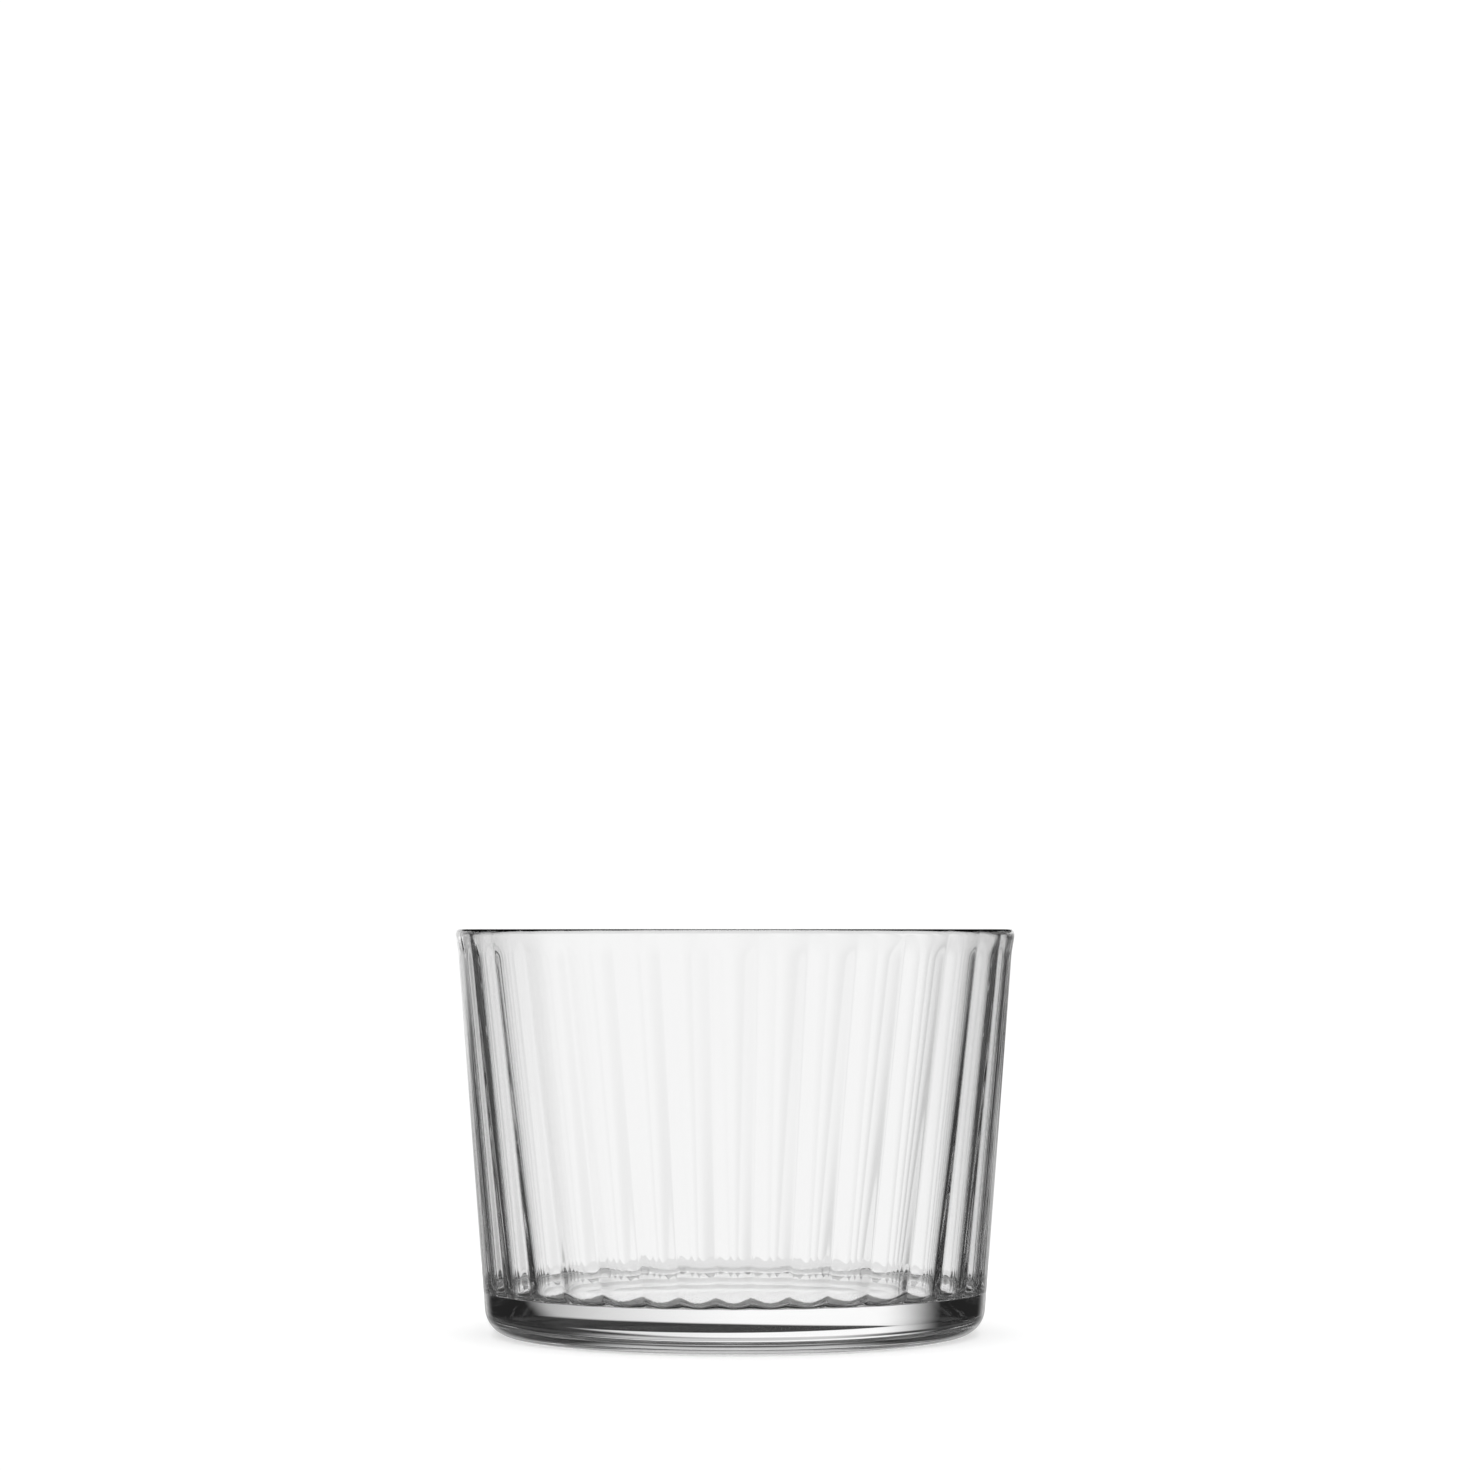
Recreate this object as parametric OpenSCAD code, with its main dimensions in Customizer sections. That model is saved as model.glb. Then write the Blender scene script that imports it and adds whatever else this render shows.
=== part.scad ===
// Low, wide juice glass in clear glass: thick base, smooth outside, flutes on the inside of the wall.
// The glass stands on z = 0 and its axis is +Z.
// On the real object the three nodes are zones of one piece of glass.

/* [Overall] */
// Height from the table to the top of the lip
height = 60; // [56:0.5:66]
// Outside width of the straight wall, carried up to the top of the lip
rim_od = 83; // [80:0.5:88]
// Outside width of the straight wall, carried down to the table
foot_od = 73.7; // [70:0.1:76]

/* [Base] */
// Glass between the table and the floor of the bowl
floor_thickness = 7.1; // [5.5:0.1:9]
// Rounding of the outer bottom edge
heel_radius = 4; // [3:0.1:5]
// Width of the shallow hollow under the base
punt_width = 60; // [50:0.5:62]
// Depth of the hollow under the base at its middle
punt_depth = 0.6; // [0.3:0.05:1.2]
// Rounding where the floor of the bowl turns up into the wall
cove_radius = 1.2; // [0.8:0.1:2]

/* [Wall] */
// Wall thickness behind the middle of a flute, at the floor of the bowl
wall_at_floor = 1.9; // [1.5:0.05:2.6]
// Wall thickness at the lip, where the flutes have run out
wall_at_lip = 1; // [0.8:0.05:1.4]

/* [Flutes] */
// Number of flutes round the inside
flute_count = 36; // [24:1:48]
// Depth of a flute below its ridges
flute_depth = 0.5; // [0.2:0.05:0.8]
// Straight strips that make up the curve of one flute
flute_strips = 8; // [4:2:12]
// Number of leaves of the mould: the flutes are narrowest at the middle of each leaf
mould_leaves = 3; // [2:1:4]
// Largest angle in degrees by which a ridge stands off even spacing
ridge_drift = 3.5; // [0:0.25:5]
// Height above the table where the ridges start to run out
fade_start = 44; // [30:0.5:48]

/* [Lip] */
// Height of the smooth lip ring above the flutes
lip_height = 2.4; // [2:0.1:4]
// Thickness of the fire-polished bead at the very top
bead_thickness = 1.3; // [1.1:0.05:1.8]

/* [Hidden] */
$fn = 180;
// Facets of a full circle of the very large ball that shapes the hollow under the base
punt_facets = 2400;
// Length by which a cut runs past the face it leaves through
overrun = 0.4;
rim_r = rim_od / 2;
foot_r = foot_od / 2;
wall_slope = (rim_r - foot_r) / height;
split_z = floor_thickness + cove_radius;
lip_z = height - lip_height;
heel_x = outer_r(heel_radius) - heel_radius;
// Share of the bowl radius that a ridge stands proud of the middle of a flute
ridge_share = flute_depth / flute_r(split_z);
cove_x = ridge_r(split_z) - cove_radius;
punt_r = punt_width / 2;
punt_ball_r = (punt_r * punt_r + punt_depth * punt_depth) / (2 * punt_depth);
bead_r = bead_thickness / 2;
bead_x = outer_r(height) - wall_at_lip / 2;
bead_z = height - bead_r;

// Outside radius of the straight wall at height z
function outer_r(z) = foot_r + wall_slope * z;

// Wall thickness behind the middle of a flute at height z
function wall_t(z) =
  wall_at_floor + (wall_at_lip - wall_at_floor) * (z - floor_thickness) / (height - floor_thickness);

// Radius of the bowl in the middle of a flute at height z
function flute_r(z) = outer_r(z) - wall_t(z);

// Radius of the bowl on a ridge at height z
function ridge_r(z) = flute_r(z) * (1 - ridge_share);

// Angle round the axis, from the front, that an evenly spaced angle a moves to
function drifted(a) = a - ridge_drift * sin(mould_leaves * a);

// Plan of the bowl: shallow hollows that meet in ridges, r is the radius in the middle of a flute
module bowl_plan(r) {
  steps = flute_count * flute_strips;
  polygon([
    for (i = [0 : steps - 1])
      let (u = 2 * (i % flute_strips) / flute_strips - 1)
      let (q = r * (1 - ridge_share * u * u))
      let (a = drifted((i + flute_strips / 2) * 360 / steps))
      [q * sin(a), -q * cos(a)]
  ]);
}

// Piece of the bowl between two heights, each with its own radius
module bowl_slice(z0, r0, z1, r1) {
  translate([0, 0, z0])
    linear_extrude(height = z1 - z0, scale = r1 / r0)
      bowl_plan(r0);
}

// Quarter of a disc in the half section, below and outside its centre [x, z]
module quarter(x, z, r) {
  intersection() {
    translate([x, z]) circle(r = r);
    translate([x, z - r - overrun]) square([r + overrun, r + overrun]);
  }
}

// Half section of the outside of the base, with the rounded heel
module base_outline() {
  polygon([
    [0, 0],
    [heel_x, 0],
    [heel_x, heel_radius],
    [outer_r(heel_radius), heel_radius],
    [outer_r(split_z), split_z],
    [0, split_z]
  ]);
  quarter(heel_x, heel_radius, outer_r(heel_radius) - heel_x);
}

// Half section of the bottom of the bowl: flat floor and the cove round it
module bowl_floor() {
  polygon([
    [0, floor_thickness],
    [cove_x, floor_thickness],
    [cove_x, split_z],
    [cove_x + cove_radius, split_z],
    [cove_x + cove_radius, split_z + overrun],
    [0, split_z + overrun]
  ]);
  quarter(cove_x, split_z, cove_radius);
}

module base() {
  color([0.80, 0.88, 0.90])
    rotate_extrude()
      difference() {
        base_outline();
        translate([0, punt_depth - punt_ball_r]) circle(r = punt_ball_r, $fn = punt_facets);
        bowl_floor();
      }
}

module fluted_wall() {
  color([0.86, 0.92, 0.94])
    difference() {
      translate([0, 0, split_z])
        cylinder(h = lip_z - split_z, r1 = outer_r(split_z), r2 = outer_r(lip_z));
      bowl_slice(split_z - overrun, flute_r(split_z - overrun), lip_z + overrun, flute_r(lip_z + overrun));
      fade_cone();
    }
}

// Smooth cone that swallows the ridges towards the lip
module fade_cone() {
  rise = lip_z - fade_start;
  widen = (flute_r(lip_z) - ridge_r(fade_start)) / rise;
  translate([0, 0, fade_start])
    cylinder(h = rise + overrun, r1 = ridge_r(fade_start), r2 = flute_r(lip_z) + widen * overrun);
}

module rim() {
  color([0.90, 0.95, 0.96])
    rotate_extrude() {
      polygon([
        [flute_r(lip_z), lip_z],
        [outer_r(lip_z), lip_z],
        [outer_r(bead_z), bead_z],
        [flute_r(bead_z), bead_z]
      ]);
      translate([bead_x, bead_z]) circle(r = bead_r);
    }
}

base();
fluted_wall();
rim();
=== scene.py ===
"""Low, wide juice glass in clear glass, built over its packed solids, on a plain studio stage."""

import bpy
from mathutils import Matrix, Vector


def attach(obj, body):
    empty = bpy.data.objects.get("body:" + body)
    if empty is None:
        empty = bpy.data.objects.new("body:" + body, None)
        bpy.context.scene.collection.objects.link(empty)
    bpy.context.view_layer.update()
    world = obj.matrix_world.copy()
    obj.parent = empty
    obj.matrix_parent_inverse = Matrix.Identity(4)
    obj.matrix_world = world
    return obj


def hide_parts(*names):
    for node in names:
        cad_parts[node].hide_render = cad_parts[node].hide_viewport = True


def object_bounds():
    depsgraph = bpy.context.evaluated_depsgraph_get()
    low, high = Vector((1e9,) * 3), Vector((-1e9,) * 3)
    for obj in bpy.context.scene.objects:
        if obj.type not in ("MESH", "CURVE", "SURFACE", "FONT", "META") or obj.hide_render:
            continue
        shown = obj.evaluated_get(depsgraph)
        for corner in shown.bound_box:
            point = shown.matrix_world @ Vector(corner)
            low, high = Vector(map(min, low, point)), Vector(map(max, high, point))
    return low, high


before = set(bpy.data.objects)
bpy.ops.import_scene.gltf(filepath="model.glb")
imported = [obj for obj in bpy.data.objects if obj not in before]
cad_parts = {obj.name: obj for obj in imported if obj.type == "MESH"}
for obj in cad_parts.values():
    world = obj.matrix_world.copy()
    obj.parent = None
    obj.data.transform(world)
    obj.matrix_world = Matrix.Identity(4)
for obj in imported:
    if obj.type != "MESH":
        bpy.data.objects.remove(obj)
CAD_BOX = [list(corner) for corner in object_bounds()]

import math

import bpy
import numpy as np
from bpy.props import FloatProperty, FloatVectorProperty, IntProperty, PointerProperty
from bpy.types import Operator, Panel, PropertyGroup

bl_info = {
    "name": "Fluted juice glass",
    "version": (1, 0, 0),
    "blender": (4, 5, 0),
    "location": "3D View > Sidebar > Juice glass",
    "description": "Clear juice glass with flutes inside its wall, and a plain studio stage for it",
    "category": "Add Mesh",
}

MM = 0.001
DEG = math.pi / 180
NODES = ("base", "fluted_wall", "rim")
# The lip is the widest part, and stays a hair inside the solids' box
LIP_CLEARANCE = 0.01 * MM
LIP_RADIUS = min(CAD_BOX[1][0], CAD_BOX[1][1]) - LIP_CLEARANCE
GLASS_HEIGHT = CAD_BOX[1][2] - CAD_BOX[0][2]

# Rows of points along each stretch of the glass's section
ROWS = {
    "hollow": 16, "heel": 16, "side": 24, "flare": 10, "lip": 18,
    "run_out": 14, "flutes": 32, "cove": 14, "floor": 16,
}
# Where the rows between the hollow and the heel lie, as shares of the way
STANDING_ROWS = (0.3, 0.7)
# Columns of points across a flute, and how much closer they stand towards its ridges: 1 is evenly
COLUMNS_PER_FLUTE = 16
COLUMN_CROWDING = 1.35
# Start of the random spread of ridges and flute depths
SPREAD_SEED = 36
# Character of the faint waves on the glass: few and soft
WAVE_DETAIL = 1.0
WAVE_ROUGHNESS = 0.4

FLOOR_CORNERS = 128
PAPER_ROUGHNESS = 0.8
PAPER_SPECULAR = 0.1
# Light crosses up to a dozen glass surfaces here, so its paths are let run long
GLASS_BOUNCES = 32
MIRROR_BOUNCES = 16
CAMERA_CLIP = 10 * MM

# Settings that many nodes share
SMOOTH = {"interpolation_type": "SMOOTHSTEP"}
LINEAR = {"interpolation_type": "LINEAR"}
FLOAT = {"data_type": "FLOAT"}
COLOUR = {"data_type": "RGBA"}
# Numbers of a mix node's sockets for colours, because those for floats have the same names
COLOUR_A, COLOUR_B, COLOUR_RESULT = 6, 7, 2
# Counts of bounces that lie closer than this are the same
SAME_COUNT = 0.5


def linear(hex_colour):
    """Linear red, green and blue of an sRGB colour written as six hex digits."""
    shares = [int(hex_colour[i:i + 2], 16) / 255 for i in (0, 2, 4)]
    return tuple(s / 12.92 if s <= 0.04045 else ((s + 0.055) / 1.055) ** 2.4 for s in shares)


WHITE = (*linear("FFFFFF"), 1)
BLACK = (*linear("000000"), 1)


def add_node(tree, kind, settings=(), inputs=()):
    """Adds a node with its settings and links.

    An input is a value, another node's output, or a node, which stands for its first output.
    """
    node = tree.nodes.new("ShaderNode" + kind)
    for name, value in dict(settings).items():
        setattr(node, name, value)
    sockets = inputs.items() if isinstance(inputs, dict) else enumerate(inputs)
    for name, value in sockets:
        if isinstance(value, bpy.types.Node):
            value = value.outputs[0]
        if isinstance(value, bpy.types.NodeSocket):
            tree.links.new(value, node.inputs[name])
        else:
            node.inputs[name].default_value = value
    return node


class GlassSizes(PropertyGroup):
    """Sizes of the glass apart from its flutes."""

    height: FloatProperty(
        name="Height",
        description="Table to the top of the lip",
        default=GLASS_HEIGHT, unit="LENGTH", subtype="DISTANCE")
    lip_radius: FloatProperty(
        name="Lip radius",
        description="Outside radius of the lip at its widest",
        default=LIP_RADIUS, unit="LENGTH", subtype="DISTANCE")
    side_top_radius: FloatProperty(
        name="Side radius at the top",
        description="Outside radius of the straight side, carried up to the lip",
        default=41.5 * MM, unit="LENGTH", subtype="DISTANCE")
    side_foot_radius: FloatProperty(
        name="Side radius at the foot",
        description="Outside radius of the straight side, carried down to the table",
        default=36.85 * MM, unit="LENGTH", subtype="DISTANCE")
    heel_radius: FloatProperty(
        name="Heel radius",
        description="Rounding of the outer bottom edge",
        default=4.0 * MM, unit="LENGTH", subtype="DISTANCE")
    hollow_radius: FloatProperty(
        name="Hollow radius",
        description="Radius of the shallow hollow under the base",
        default=30.0 * MM, unit="LENGTH", subtype="DISTANCE")
    hollow_depth: FloatProperty(
        name="Hollow depth",
        description="Depth of the hollow under the base at its middle",
        default=0.6 * MM, unit="LENGTH", subtype="DISTANCE")
    floor_height: FloatProperty(
        name="Floor height",
        description="Table to the floor of the bowl",
        default=6.5 * MM, unit="LENGTH", subtype="DISTANCE")
    wall_at_floor: FloatProperty(
        name="Wall at the floor",
        description="Thickness of the wall on a ridge, at the floor of the bowl",
        default=2.4 * MM, unit="LENGTH", subtype="DISTANCE")
    wall_at_lip: FloatProperty(
        name="Wall at the lip",
        description="Thickness of the wall on a ridge, under the lip",
        default=1.1 * MM, unit="LENGTH", subtype="DISTANCE")
    lip_round: FloatProperty(
        name="Lip rounding",
        description="Height of the rounded top of the lip",
        default=0.85 * MM, unit="LENGTH", subtype="DISTANCE")
    flare_height: FloatProperty(
        name="Flare height",
        description="Height over which the side opens out to the lip",
        default=3.0 * MM, unit="LENGTH", subtype="DISTANCE")


class FluteSizes(PropertyGroup):
    """Sizes of the flutes inside the wall."""

    count: IntProperty(
        name="Flutes",
        description="Number of flutes round the inside",
        default=36, min=12, max=72)
    depth_at_floor: FloatProperty(
        name="Depth at the floor",
        description="Depth of a flute below its ridges, at the floor of the bowl",
        default=0.4 * MM, unit="LENGTH", subtype="DISTANCE")
    depth_at_top: FloatProperty(
        name="Depth at the top",
        description="Depth of a flute below its ridges, where it starts to run out",
        default=0.23 * MM, unit="LENGTH", subtype="DISTANCE")
    depth_at_lip: FloatProperty(
        name="Depth at the lip",
        description="Depth of the wave that is left of a flute on the lip",
        default=0.07 * MM, unit="LENGTH", subtype="DISTANCE")
    depth_ease: FloatProperty(
        name="Depth ease",
        description="How late the flutes deepen on their way down: 1 is evenly",
        default=2.0, min=0.5, max=6.0)
    run_out: FloatProperty(
        name="Run-out",
        description="Height below the lip over which a flute runs out",
        default=3.5 * MM, unit="LENGTH", subtype="DISTANCE")
    cove_in_flute: FloatProperty(
        name="Cove in a flute",
        description="Rounding between floor and wall in the middle of a flute",
        default=1.2 * MM, unit="LENGTH", subtype="DISTANCE")
    cove_on_ridge: FloatProperty(
        name="Cove on a ridge",
        description="Rounding between floor and wall on a ridge",
        default=2.2 * MM, unit="LENGTH", subtype="DISTANCE")
    mould_leaves: IntProperty(
        name="Mould leaves",
        description="Number of leaves of the mould: flutes are narrowest at the middle of each",
        default=3, min=1, max=6)
    drift: FloatProperty(
        name="Ridge drift",
        description="Largest angle by which a ridge stands off even spacing",
        default=3.5 * DEG, unit="ROTATION", subtype="ANGLE")
    lean: FloatProperty(
        name="Ridge lean",
        description="Largest angle by which ridges move away from front and back up to the lip",
        default=5.5 * DEG, unit="ROTATION", subtype="ANGLE")
    ridge_round: FloatProperty(
        name="Ridge rounding",
        description="Share of half a flute that the rounding of its ridge takes up",
        default=0.08, subtype="FACTOR", min=0.01, max=0.5)
    ridge_soft: FloatProperty(
        name="Ridge softness",
        description="How far the flutes are an even wave: 0 is pointed ridges",
        default=0.3, subtype="FACTOR", min=0.0, max=1.0)
    depth_spread: FloatProperty(
        name="Depth spread",
        description="Share by which flute depths differ from each other",
        default=0.06, subtype="FACTOR", min=0.0, max=0.3)
    ridge_spread: FloatProperty(
        name="Ridge spread",
        description="Angle by which ridges stray from their place",
        default=0.25 * DEG, unit="ROTATION", subtype="ANGLE")


class GlassFinish(PropertyGroup):
    """Looks of the glass."""

    tint: FloatVectorProperty(
        name="Tint",
        description="Colour of light that has passed through the surface",
        default=linear("FFFFFF"), size=3, subtype="COLOR", min=0.0, max=1.0)
    ior: FloatProperty(
        name="IOR",
        description="Refractive index of soda-lime glass",
        default=1.52, min=1.3, max=1.8)
    wave_length: FloatProperty(
        name="Wave length",
        description="Distance between the faint waves that the mould leaves on the surface",
        default=9.0 * MM, unit="LENGTH", subtype="DISTANCE")
    wave_height: FloatProperty(
        name="Wave height",
        description="Height of the faint waves",
        default=0.006 * MM, unit="LENGTH", subtype="DISTANCE")


class StageSettings(PropertyGroup):
    """Floor, light and camera."""

    floor_radius: FloatProperty(
        name="Floor radius",
        description="Radius of the pale floor",
        default=160.0 * MM, unit="LENGTH", subtype="DISTANCE")
    footprint_radius: FloatProperty(
        name="Footprint radius",
        description="Radius of the floor that shows through the glass",
        default=38.0 * MM, unit="LENGTH", subtype="DISTANCE")
    floor_colour: FloatVectorProperty(
        name="Floor colour",
        description="Colour of the pale floor",
        default=linear("F6F6F6"), size=3, subtype="COLOR", min=0.0, max=1.0)
    floor_lift: FloatProperty(
        name="Floor lift",
        description="Light added to the floor where the camera sees it without glass",
        default=0.36, min=0.0, max=2.0)
    # The pool below is painted light: a glow on the paper under the bowl, shown only through the
    # glass
    painted_pool_light: FloatProperty(
        name="Pool light",
        description="Light added to a pool on the floor under the bowl",
        default=0.5, min=0.0, max=2.0)
    pool_shift: FloatProperty(
        name="Pool shift",
        description="How far the pool's middle lies behind the middle of the glass",
        default=9.0 * MM, unit="LENGTH", subtype="DISTANCE")
    pool_edge: FloatVectorProperty(
        name="Pool edge",
        description="Radii between which the pool ends and the shade of the foot sets in",
        default=(22.0 * MM, 35.0 * MM), size=2, unit="LENGTH")
    # Painted shade: the paper's colour darkened under the foot and where the glass mirrors the
    # paper
    painted_foot_shade: FloatVectorProperty(
        name="Foot shade",
        description="Share of the floor's brightness left under the foot, seen and mirrored",
        default=(0.6, 0.3), size=2, min=0.0, max=1.0)
    background_light: FloatProperty(
        name="Background light",
        description="Brightness of the white background",
        default=1.05, min=0.0, max=10.0)
    soft_light: FloatProperty(
        name="Soft light",
        description="Strength of the soft light that shines on the floor from above",
        default=1.9, min=0.0, max=10.0)
    soft_edge: FloatVectorProperty(
        name="Soft light edge",
        description="Elevations between which the light from above sets in",
        default=(30 * DEG, 62 * DEG), size=2, unit="ROTATION")
    panel_light: FloatProperty(
        name="Panel light",
        description="Strength of the light panel behind the glass",
        default=1.01, min=0.0, max=10.0)
    panel_left: FloatVectorProperty(
        name="Panel left",
        description="Directions between which the panel's left edge fades in",
        default=(-44 * DEG, -23 * DEG), size=2, unit="ROTATION")
    panel_right: FloatVectorProperty(
        name="Panel right",
        description="Directions between which the panel falls off to the right",
        default=(-2 * DEG, 60 * DEG), size=2, unit="ROTATION")
    panel_curve: FloatProperty(
        name="Panel curve",
        description="How late the panel falls off to the right: 1 is evenly",
        default=1.2, min=0.5, max=4.0)
    panel_top: FloatVectorProperty(
        name="Panel top",
        description="Elevations between which the panel's top edge fades out",
        default=(7.0 * DEG, 9.5 * DEG), size=2, unit="ROTATION")
    panel_slant: FloatProperty(
        name="Panel slant",
        description="Fall of the panel's top edge from left to right",
        default=0.16, min=-1.0, max=1.0)
    wall_light: FloatVectorProperty(
        name="Wall light",
        description="Brightness of the studio behind the camera, seen through and mirrored",
        default=(0.95, 0.45), size=2, min=0.0, max=10.0)
    wall_edge: FloatVectorProperty(
        name="Wall edge",
        description="Directions between which the studio gets bright, both sides",
        default=(68 * DEG, 86 * DEG), size=2, unit="ROTATION")
    mirror_wall_edge: FloatVectorProperty(
        name="Mirror wall edge",
        description="Directions between which the mirrored studio gets bright, both sides",
        default=(76 * DEG, 100 * DEG), size=2, unit="ROTATION")
    table_light: FloatVectorProperty(
        name="Table light",
        description="Brightness of the table round the floor, in the middle and at the sides",
        default=(0.82, 1.0), size=2, min=0.0, max=10.0)
    table_edge: FloatVectorProperty(
        name="Table edge",
        description="Elevations between which the table gives way to the screens",
        default=(-13 * DEG, -8 * DEG), size=2, unit="ROTATION")
    table_mirror: FloatVectorProperty(
        name="Table mirror",
        description="Brightness of the mirrored table, in the middle and at the sides",
        default=(0.6, 0.04), size=2, min=0.0, max=10.0)
    mirror_edge: FloatVectorProperty(
        name="Mirror edge",
        description="Elevations between which the mirrored table gives way to the panel",
        default=(-4 * DEG, -2 * DEG), size=2, unit="ROTATION")
    mirror_right: FloatVectorProperty(
        name="Mirror right",
        description="Directions between which the mirrored panel falls off to the right",
        default=(-4 * DEG, 26 * DEG), size=2, unit="ROTATION")
    mirror_slant: FloatProperty(
        name="Mirror slant",
        description="How far the mirrored panel's right edge moves out as it rises",
        default=5.0, min=0.0, max=20.0)
    ceiling_light: FloatProperty(
        name="Ceiling light",
        description="Brightness of the ceiling",
        default=0.5, min=0.0, max=10.0)
    ceiling_edge: FloatVectorProperty(
        name="Ceiling edge",
        description="Elevations between which the ceiling gets bright",
        default=(18 * DEG, 24 * DEG), size=2, unit="ROTATION")
    middle_edge: FloatVectorProperty(
        name="Middle edge",
        description="Directions between which the middle of table and ceiling ends, both sides",
        default=(12 * DEG, 30 * DEG), size=2, unit="ROTATION")
    room_light: FloatProperty(
        name="Room light",
        description="Brightness of the dark screens beside and above the panel",
        default=0.015, min=0.0, max=10.0)
    camera_distance: FloatProperty(
        name="Camera distance",
        description="Camera to the axis of the glass",
        default=653.0 * MM, unit="LENGTH", subtype="DISTANCE")
    camera_height: FloatProperty(
        name="Camera height",
        description="Height of the camera above the table",
        default=59.8 * MM, unit="LENGTH", subtype="DISTANCE")
    camera_tilt: FloatProperty(
        name="Camera tilt",
        description="Angle by which the camera looks up",
        default=2.562 * DEG, unit="ROTATION", subtype="ANGLE")
    camera_lens: FloatProperty(
        name="Camera lens",
        description="Focal length in millimetres on a 36 mm wide frame",
        default=107.0, subtype="DISTANCE_CAMERA")


def smooth(low, high, value):
    """Eased step from 0 at low to 1 at high."""
    share = np.clip((value - low) / (high - low), 0, 1)
    return share * share * (3 - 2 * share)


def flute_columns(flutes):
    """Angle from the front and share of hollow of each column: 0 on a ridge, 1 in mid flute."""
    spread = np.random.default_rng(SPREAD_SEED)
    offsets = spread.normal(0, flutes.ridge_spread, flutes.count)
    depths = 1 + spread.normal(0, flutes.depth_spread, flutes.count)
    across = np.linspace(-1, 1, COLUMNS_PER_FLUTE, endpoint=False)
    across = np.sign(across) * (1 - (1 - np.abs(across)) ** COLUMN_CROWDING)
    share = (across + 1) / 2
    pitch = 2 * math.pi / flutes.count
    # Ridges are set off by half a flute, so that the middle of one flute faces the front
    even = (np.arange(flutes.count)[:, None] + 0.5 + share) * pitch
    stray = offsets[:, None] * (1 - share) + np.roll(offsets, -1)[:, None] * share
    angle = even - flutes.drift * np.sin(flutes.mould_leaves * even) + stray
    from_ridge = 1 - np.abs(across)
    rounding = from_ridge / (from_ridge + flutes.ridge_round) * (1 + flutes.ridge_round)
    pointed = np.clip((1 - across ** 2) * rounding, 0, 1)
    wave = (1 + np.cos(math.pi * across)) / 2
    hollow = (pointed + (wave - pointed) * flutes.ridge_soft) * depths[:, None]
    return angle.ravel(), hollow.ravel()


def glass_section(sizes, flutes, hollow):
    """Rings of the glass, as radius and height, from mid underside to the middle of its floor."""
    even = np.ones_like(hollow)
    slope = (sizes.side_top_radius - sizes.side_foot_radius) / sizes.height
    tilt = math.atan(slope)
    rings = []

    lip_z = sizes.height - sizes.lip_round
    flare_z = lip_z - sizes.flare_height
    flare = sizes.lip_radius - sizes.side_foot_radius - slope * lip_z

    def side(height):
        return sizes.side_foot_radius + slope * height + flare * smooth(flare_z, lip_z, height)

    # Hollow under the base, standing ring and rounded heel
    for share in np.linspace(0, 1, ROWS["hollow"])[1:]:
        depth = sizes.hollow_depth * (1 - share ** 2)
        rings.append((sizes.hollow_radius * share * even, depth * even))
    heel = sizes.heel_radius
    heel_x = side(heel) - heel / math.cos(tilt)
    for share in STANDING_ROWS:
        radius = sizes.hollow_radius + (heel_x - sizes.hollow_radius) * share
        rings.append((radius * even, 0 * even))
    for turn in np.linspace(-math.pi / 2, -tilt, ROWS["heel"]):
        radius = heel_x + heel * math.cos(turn)
        rings.append((radius * even, heel * (1 + math.sin(turn)) * even))

    # Straight side, then the slight flare to the lip
    for height in np.linspace(heel, flare_z, ROWS["side"])[1:]:
        rings.append((side(height) * even, height * even))
    for height in np.linspace(flare_z, lip_z, ROWS["flare"])[1:]:
        rings.append((side(height) * even, height * even))

    # Bowl: a ridge's wall thickness and a flute's depth, both by height
    floor = sizes.floor_height
    fade_z = lip_z - flutes.run_out

    def bowl(height):
        up = (height - floor) / (sizes.height - floor)
        wall = sizes.wall_at_floor + (sizes.wall_at_lip - sizes.wall_at_floor) * up
        down = np.clip(1 - up, 0, 1) ** flutes.depth_ease
        depth = flutes.depth_at_top + (flutes.depth_at_floor - flutes.depth_at_top) * down
        depth = depth + (flutes.depth_at_lip - depth) * smooth(fade_z, lip_z, height)
        return side(height) - wall + depth * hollow

    # Rounded top of the lip, whose inner edge waves with the flutes
    inner = bowl(lip_z)
    for turn in np.linspace(0, math.pi, ROWS["lip"])[1:]:
        radius = (sizes.lip_radius + inner) / 2 + (sizes.lip_radius - inner) / 2 * math.cos(turn)
        rings.append((radius, (lip_z + sizes.lip_round * math.sin(turn)) * even))
    for height in np.linspace(lip_z, fade_z, ROWS["run_out"])[1:]:
        rings.append((bowl(height), height * even))

    # Flutes down to the cove, which is rounder on the ridges, and the flat floor
    cove_change = flutes.cove_in_flute - flutes.cove_on_ridge
    cove = flutes.cove_on_ridge + cove_change * np.clip(hollow, 0, 1)
    cove_z = floor + max(flutes.cove_on_ridge, flutes.cove_in_flute)
    for height in np.linspace(fade_z, cove_z, ROWS["flutes"])[1:]:
        rings.append((bowl(height), height * even))
    foot = bowl(floor + cove)
    for turn in np.linspace(0, math.pi / 2, ROWS["cove"]):
        rings.append((foot - cove * (1 - math.cos(turn)), floor + cove * (1 - math.sin(turn))))
    for share in np.linspace(1, 0, ROWS["floor"])[1:-1]:
        rings.append(((foot - cove) * share, floor * even))
    return rings


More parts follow.
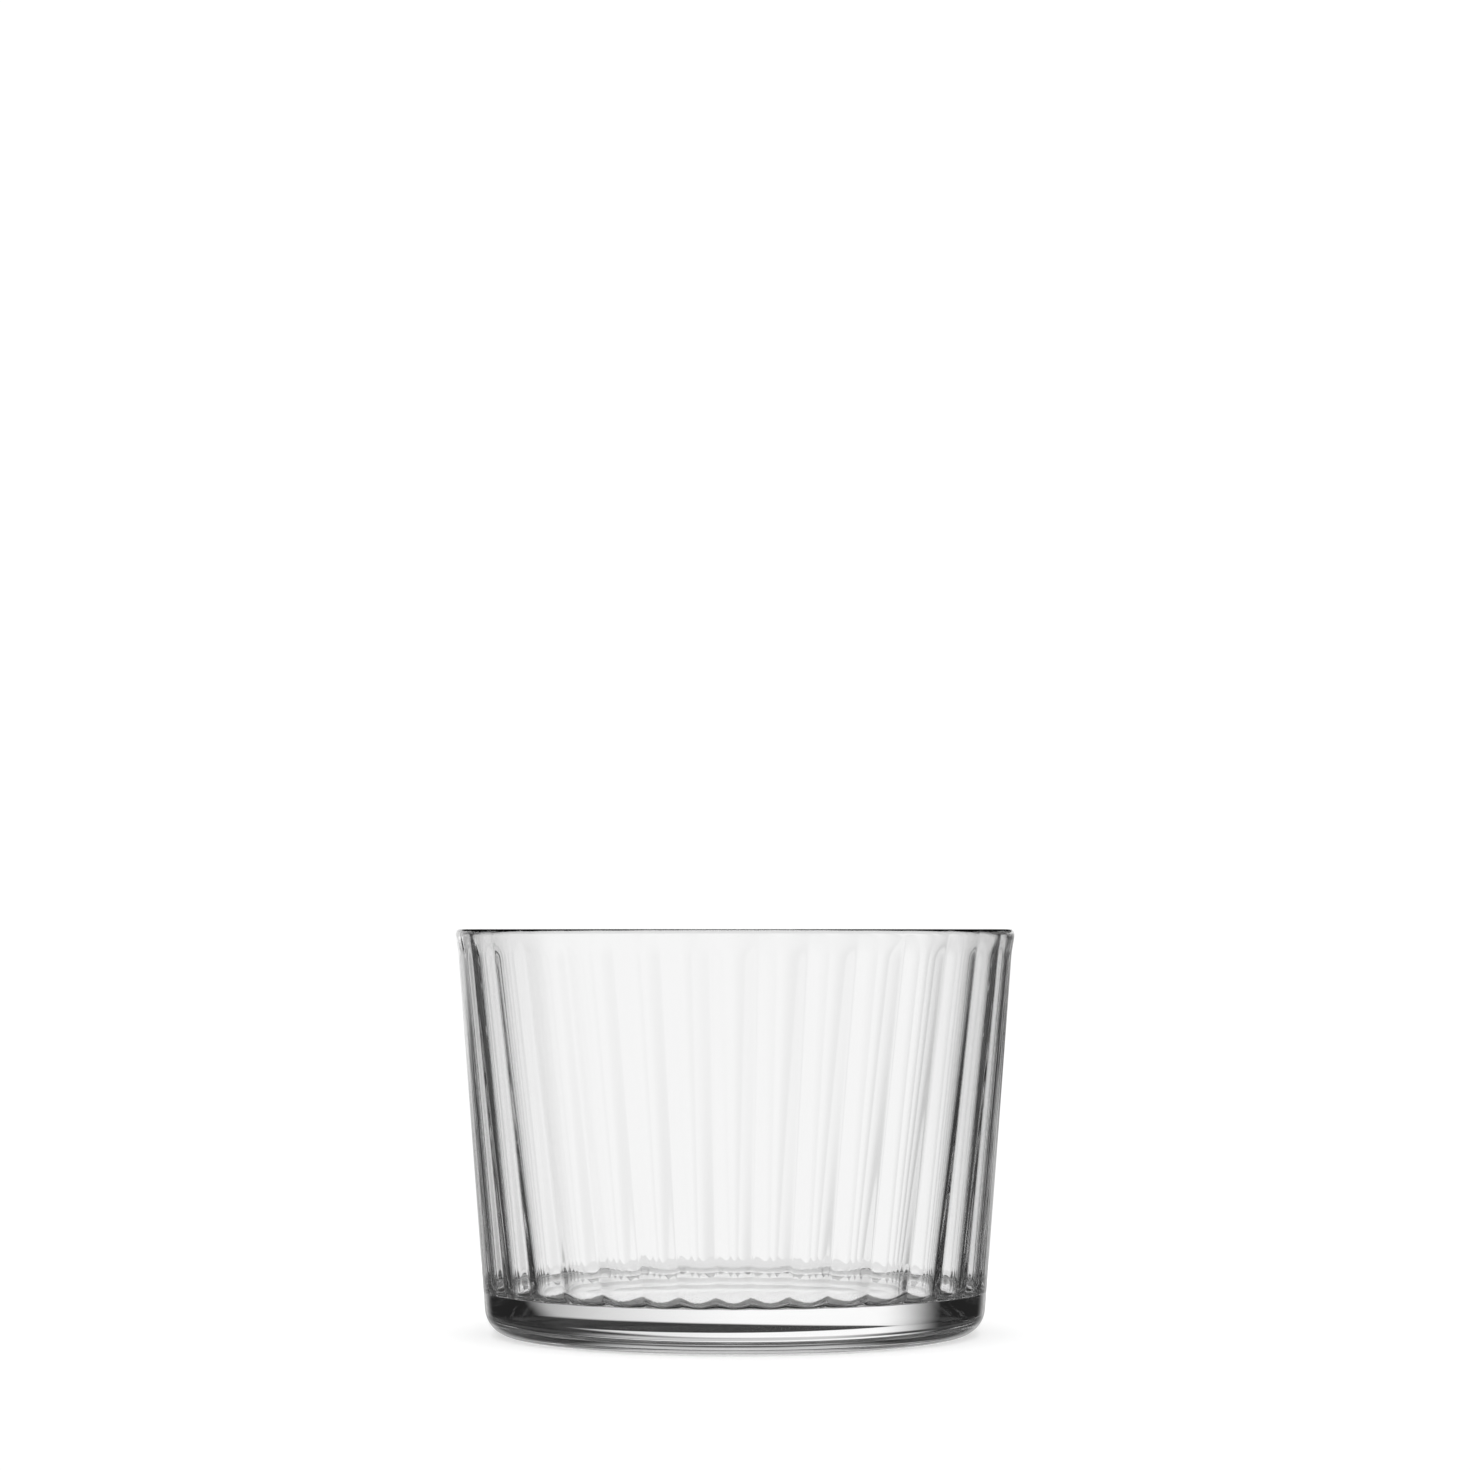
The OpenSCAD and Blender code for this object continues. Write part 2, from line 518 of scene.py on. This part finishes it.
def glass_mesh(name, rings, angle, lean, under_z, floor_z):
    """Closed mesh of the glass: rings joined by quads, with a fan at the middle of each end."""
    columns = len(angle)
    top_z = max(z.max() for _, z in rings)
    points = []
    # Ridges lean away from front and back, most half way round to the sides
    for radius, z in rings:
        up = np.clip((z - floor_z) / (top_z - floor_z), 0, 1)
        leaning = angle + lean * up * np.sin(2 * angle)
        points.append(np.stack([radius * np.sin(leaning), -radius * np.cos(leaning), z], 1))
    points.append(np.array([[0, 0, under_z], [0, 0, floor_z]]))
    points = np.concatenate(points)
    here = np.arange(columns)
    ahead = np.roll(here, -1)
    faces = []
    for i in range(len(rings) - 1):
        low = i * columns
        high = low + columns
        quads = np.stack([low + here, low + ahead, high + ahead, high + here], 1)
        faces.extend(quads.tolist())
    under, floor = len(points) - 2, len(points) - 1
    last = (len(rings) - 1) * columns
    faces.extend([under, int(b), int(a)] for a, b in zip(here, ahead))
    faces.extend([floor, int(last + a), int(last + b)] for a, b in zip(here, ahead))
    mesh = bpy.data.meshes.new(name)
    mesh.from_pydata(points.tolist(), [], faces)
    if mesh.validate():
        raise RuntimeError("the glass's mesh has broken faces")
    mesh.polygons.foreach_set("use_smooth", [True] * len(mesh.polygons))
    mesh.update()
    return mesh


def soda_lime_glass(finish):
    """Soda-lime glass, blown in a mould and fire polished."""
    # Clear and colourless with a mirror-smooth skin, so all that shows is bent light: dark and
    # bright lines where ridges, heel and lip turn the view aside. The mould leaves faint waves,
    # which break those lines up.
    material = bpy.data.materials.new("soda_lime_glass_mould_blown")
    material.use_nodes = True
    tree = material.node_tree
    shader = tree.nodes["Principled BSDF"]
    shader.inputs["Base Color"].default_value = (*finish.tint, 1)
    shader.inputs["Roughness"].default_value = 0.0
    shader.inputs["IOR"].default_value = finish.ior
    shader.inputs["Transmission Weight"].default_value = 1.0
    place = add_node(tree, "TexCoord")
    waves = add_node(tree, "TexNoise", {"noise_dimensions": "3D"}, {
        "Vector": place.outputs["Object"], "Scale": 1 / finish.wave_length,
        "Detail": WAVE_DETAIL, "Roughness": WAVE_ROUGHNESS})
    bump = add_node(tree, "Bump", {}, {
        "Strength": 1.0, "Distance": finish.wave_height, "Height": waves.outputs["Fac"]})
    tree.links.new(bump.outputs["Normal"], shader.inputs["Normal"])
    return material


def ring_mesh(name, inner, outer):
    """Flat ring on the table, or a disc where the inner radius is 0."""
    turns = np.arange(FLOOR_CORNERS) * 2 * math.pi / FLOOR_CORNERS
    points = [(r * math.cos(t), r * math.sin(t), 0) for r in (inner, outer) if r for t in turns]
    here = range(FLOOR_CORNERS)
    if inner:
        ahead = [(i + 1) % FLOOR_CORNERS for i in here]
        faces = [(i, j, FLOOR_CORNERS + j, FLOOR_CORNERS + i) for i, j in zip(here, ahead)]
    else:
        faces = [tuple(here)]
    mesh = bpy.data.meshes.new(name)
    mesh.from_pydata(points, [], faces)
    return mesh


def studio_paper(stage):
    """Matt white background paper, smooth and without a visible grain at this distance.

    Under the glass it shows a painted pool of light and painted shade.
    """
    # Even white where no glass is in the way, a little overexposed in the picture, so only the
    # shadow close to the glass is left of it
    material = bpy.data.materials.new("white_paper_smooth_painted_pool_and_shade")
    material.use_nodes = True
    tree = material.node_tree
    shader = tree.nodes["Principled BSDF"]
    shader.inputs["Roughness"].default_value = PAPER_ROUGHNESS
    shader.inputs["Specular IOR Level"].default_value = PAPER_SPECULAR
    shader.inputs["Emission Color"].default_value = WHITE
    path = add_node(tree, "LightPath").outputs
    direct = path["Is Camera Ray"]
    # Rays that the glass has mirrored once
    once = add_node(
        tree, "Math", {"operation": "COMPARE"}, (path["Glossy Depth"], 1.0, SAME_COUNT))
    place = add_node(tree, "TexCoord")
    from_pool = add_node(
        tree, "VectorMath", {"operation": "SUBTRACT"},
        (place.outputs["Object"], (0, stage.pool_shift, 0)))
    away = add_node(tree, "VectorMath", {"operation": "LENGTH"}, (from_pool,)).outputs["Value"]

    # Painted shade in the paper's colour under the front of the foot, as the light comes from
    # behind, and painted darker where cove and heel mirror the paper. Where no glass is in the way,
    # the paper has its own colour.
    seen, mirrored = stage.painted_foot_shade
    shade = add_node(tree, "MapRange", SMOOTH, (away, *stage.pool_edge, 1.0, seen))
    shade = add_node(tree, "Mix", FLOAT, {"Factor": once, "A": shade, "B": mirrored})
    shade = add_node(tree, "Mix", FLOAT, {"Factor": direct, "A": shade, "B": 1.0})
    colour = add_node(
        tree, "Mix", COLOUR,
        {"Factor": shade, COLOUR_A: BLACK, COLOUR_B: (*stage.floor_colour, 1)})
    tree.links.new(colour.outputs[COLOUR_RESULT], shader.inputs["Base Color"])

    # Painted pool of light: a glow on the paper under the bowl, seen through the glass but not
    # where the glass mirrors the paper once; and the lift where no glass is in the way
    lift = add_node(tree, "MapRange", SMOOTH, (away, *stage.pool_edge, stage.painted_pool_light, 0.0))
    lift = add_node(tree, "Mix", FLOAT, {"Factor": once, "A": lift, "B": 0.0})
    lift = add_node(tree, "Mix", FLOAT, {"Factor": direct, "A": lift, "B": stage.floor_lift})
    tree.links.new(lift.outputs[0], shader.inputs["Emission Strength"])
    return material


def studio_light(stage):
    """World that lights the floor from above, and shows the glass a panel between dark screens."""
    world = bpy.data.worlds.new("studio_light")
    world.use_nodes = True
    tree = world.node_tree
    tree.nodes.clear()

    # Direction of the ray: turn to the right of straight ahead, the same to either side, and rise
    place = add_node(tree, "TexCoord")
    way = add_node(tree, "SeparateXYZ", {}, (place.outputs["Generated"],)).outputs
    turn = add_node(tree, "Math", {"operation": "ARCTAN2"}, (way["X"], way["Y"]))
    aside = add_node(tree, "Math", {"operation": "ABSOLUTE"}, (turn,))
    rise = add_node(tree, "Math", {"operation": "ARCSINE"}, (way["Z"],))

    # Panel behind the glass, from its soft left edge, under its slanted top edge
    left = add_node(tree, "MapRange", SMOOTH, (turn, *stage.panel_left, 0.0, 1.0))
    slant = add_node(tree, "Math", {"operation": "MULTIPLY"}, (turn, stage.panel_slant))
    slanted = add_node(tree, "Math", {"operation": "ADD"}, (rise, slant))
    top = add_node(tree, "MapRange", SMOOTH, (slanted, *stage.panel_top, stage.panel_light, 0.0))
    panel = add_node(tree, "Math", {"operation": "MULTIPLY"}, (left, top))

    # Ceiling, lit over the middle only
    middle = add_node(
        tree, "MapRange", SMOOTH, (aside, *stage.middle_edge, stage.ceiling_light, 0.0))
    height = add_node(tree, "MapRange", SMOOTH, (rise, *stage.ceiling_edge, 0.0, 1.0))
    ceiling = add_node(tree, "Math", {"operation": "MULTIPLY"}, (middle, height))

    # What the view is bent to, and what the glass mirrors on the way: a panel that is narrower low
    # down, over a table with dark sides
    outward = add_node(tree, "Math", {"operation": "MULTIPLY"}, (rise, stage.mirror_slant))
    narrowed = add_node(tree, "Math", {"operation": "SUBTRACT"}, (turn, outward))
    surroundings = []
    for across, right, wall_edge, wall_light, table_light, table_edge in (
            (turn, stage.panel_right, stage.wall_edge, stage.wall_light[0],
             stage.table_light, stage.table_edge),
            (narrowed, stage.mirror_right, stage.mirror_wall_edge, stage.wall_light[1],
             stage.table_mirror, stage.mirror_edge)):
        fall = add_node(tree, "MapRange", LINEAR, (across, *right, 0.0, 1.0))
        fall = add_node(tree, "Math", {"operation": "POWER"}, (fall, stage.panel_curve))
        lit = add_node(tree, "Math", {"operation": "SUBTRACT"}, (1.0, fall))
        lit = add_node(tree, "Math", {"operation": "MULTIPLY"}, (panel, lit))
        walls = add_node(
            tree, "MapRange", SMOOTH, (aside, *wall_edge, stage.room_light, wall_light))
        upper = add_node(tree, "Math", {"operation": "MAXIMUM"}, (walls, ceiling))
        upper = add_node(tree, "Math", {"operation": "MAXIMUM"}, (upper, lit))
        table = add_node(tree, "MapRange", SMOOTH, (aside, *stage.middle_edge, *table_light))
        table = add_node(tree, "Math", {"operation": "MAXIMUM"}, (walls, table))
        below = add_node(tree, "MapRange", SMOOTH, (rise, *table_edge, 1.0, 0.0))
        surroundings.append(
            add_node(tree, "Mix", FLOAT, {"Factor": below, "A": upper, "B": table}))

    through, mirrored = surroundings
    path = add_node(tree, "LightPath").outputs
    bounced = add_node(tree, "Math", {"operation": "MINIMUM"}, (path["Glossy Depth"], 1.0))
    light = add_node(tree, "Mix", FLOAT, {"Factor": bounced, "A": through, "B": mirrored})
    # What shines on the floor, past the glass and through it
    above = add_node(tree, "MapRange", SMOOTH, (rise, *stage.soft_edge, 0.0, stage.soft_light))
    scattered = add_node(tree, "Math", {"operation": "MINIMUM"}, (path["Diffuse Depth"], 1.0))
    light = add_node(tree, "Mix", FLOAT, {"Factor": scattered, "A": light, "B": above})
    # White background
    direct = path["Is Camera Ray"]
    light = add_node(
        tree, "Mix", FLOAT, {"Factor": direct, "A": light, "B": stage.background_light})
    glow = add_node(tree, "Background", {}, {"Color": WHITE, "Strength": light})
    add_node(tree, "OutputWorld", {}, {"Surface": glow})
    return world


class JUICEGLASS_OT_blow(Operator):
    """Builds the glass in one piece over its solids"""

    bl_idname = "juiceglass.blow"
    bl_label = "Blow the glass"

    def execute(self, context):
        sizes = context.scene.juice_glass_sizes
        flutes = context.scene.juice_glass_flutes
        angle, hollow = flute_columns(flutes)
        rings = glass_section(sizes, flutes, hollow)
        mesh = glass_mesh(
            "juice_glass", rings, angle, flutes.lean, sizes.hollow_depth, sizes.floor_height)
        mesh.materials.append(soda_lime_glass(context.scene.juice_glass_finish))
        glass = bpy.data.objects.new("juice_glass", mesh)
        context.scene.collection.objects.link(glass)
        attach(glass, "root")
        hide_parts(*NODES)
        return {"FINISHED"}


class JUICEGLASS_OT_stage(Operator):
    """Sets the floor, the light and the camera"""

    bl_idname = "juiceglass.stage"
    bl_label = "Set the stage"

    def execute(self, context):
        scene = context.scene
        stage = scene.juice_glass_stage
        paper = studio_paper(stage)
        # The glass bends the view to the light's own table, except for the paper right under it
        for name, inner, outer, through in (
                ("floor_under_glass", 0.0, stage.footprint_radius, True),
                ("floor", stage.footprint_radius, stage.floor_radius, False)):
            mesh = ring_mesh(name, inner, outer)
            mesh.materials.append(paper)
            floor = bpy.data.objects.new(name, mesh)
            floor.visible_transmission = through
            floor.visible_glossy = False
            scene.collection.objects.link(floor)

        scene.world = studio_light(stage)
        scene.view_settings.view_transform = "Standard"
        scene.cycles.max_bounces = GLASS_BOUNCES
        scene.cycles.transmission_bounces = GLASS_BOUNCES
        scene.cycles.glossy_bounces = MIRROR_BOUNCES
        scene.cycles.caustics_reflective = True
        scene.cycles.caustics_refractive = True

        lens = bpy.data.cameras.new("camera")
        lens.lens = stage.camera_lens
        lens.clip_start = CAMERA_CLIP
        camera = bpy.data.objects.new("camera", lens)
        camera.location = (0, -stage.camera_distance, stage.camera_height)
        camera.rotation_euler = (math.pi / 2 + stage.camera_tilt, 0, 0)
        scene.collection.objects.link(camera)
        scene.camera = camera
        return {"FINISHED"}


class JUICEGLASS_PT_panel(Panel):
    """Lists the glass's sizes and looks, the stage, and the buttons that build them"""

    bl_idname = "JUICEGLASS_PT_panel"
    bl_label = "Juice glass"
    bl_space_type = "VIEW_3D"
    bl_region_type = "UI"
    bl_category = "Juice glass"

    def draw(self, context):
        for name, group in GROUPS.items():
            settings = getattr(context.scene, name)
            box = self.layout.box()
            box.label(text=group.__doc__)
            for setting in group.__annotations__:
                box.prop(settings, setting)
        self.layout.operator(JUICEGLASS_OT_blow.bl_idname)
        self.layout.operator(JUICEGLASS_OT_stage.bl_idname)


GROUPS = {
    "juice_glass_sizes": GlassSizes,
    "juice_glass_flutes": FluteSizes,
    "juice_glass_finish": GlassFinish,
    "juice_glass_stage": StageSettings,
}
CLASSES = (*GROUPS.values(), JUICEGLASS_OT_blow, JUICEGLASS_OT_stage, JUICEGLASS_PT_panel)


def register():
    """Adds the classes, and the settings to every scene."""
    for cls in CLASSES:
        bpy.utils.register_class(cls)
    for name, group in GROUPS.items():
        setattr(bpy.types.Scene, name, PointerProperty(type=group))


def unregister():
    """Takes away what register adds."""
    for name in GROUPS:
        delattr(bpy.types.Scene, name)
    for cls in reversed(CLASSES):
        bpy.utils.unregister_class(cls)


def main():
    """Builds the glass and its stage."""
    register()
    bpy.ops.juiceglass.blow()
    bpy.ops.juiceglass.stage()


if __name__ == "__main__":
    main()
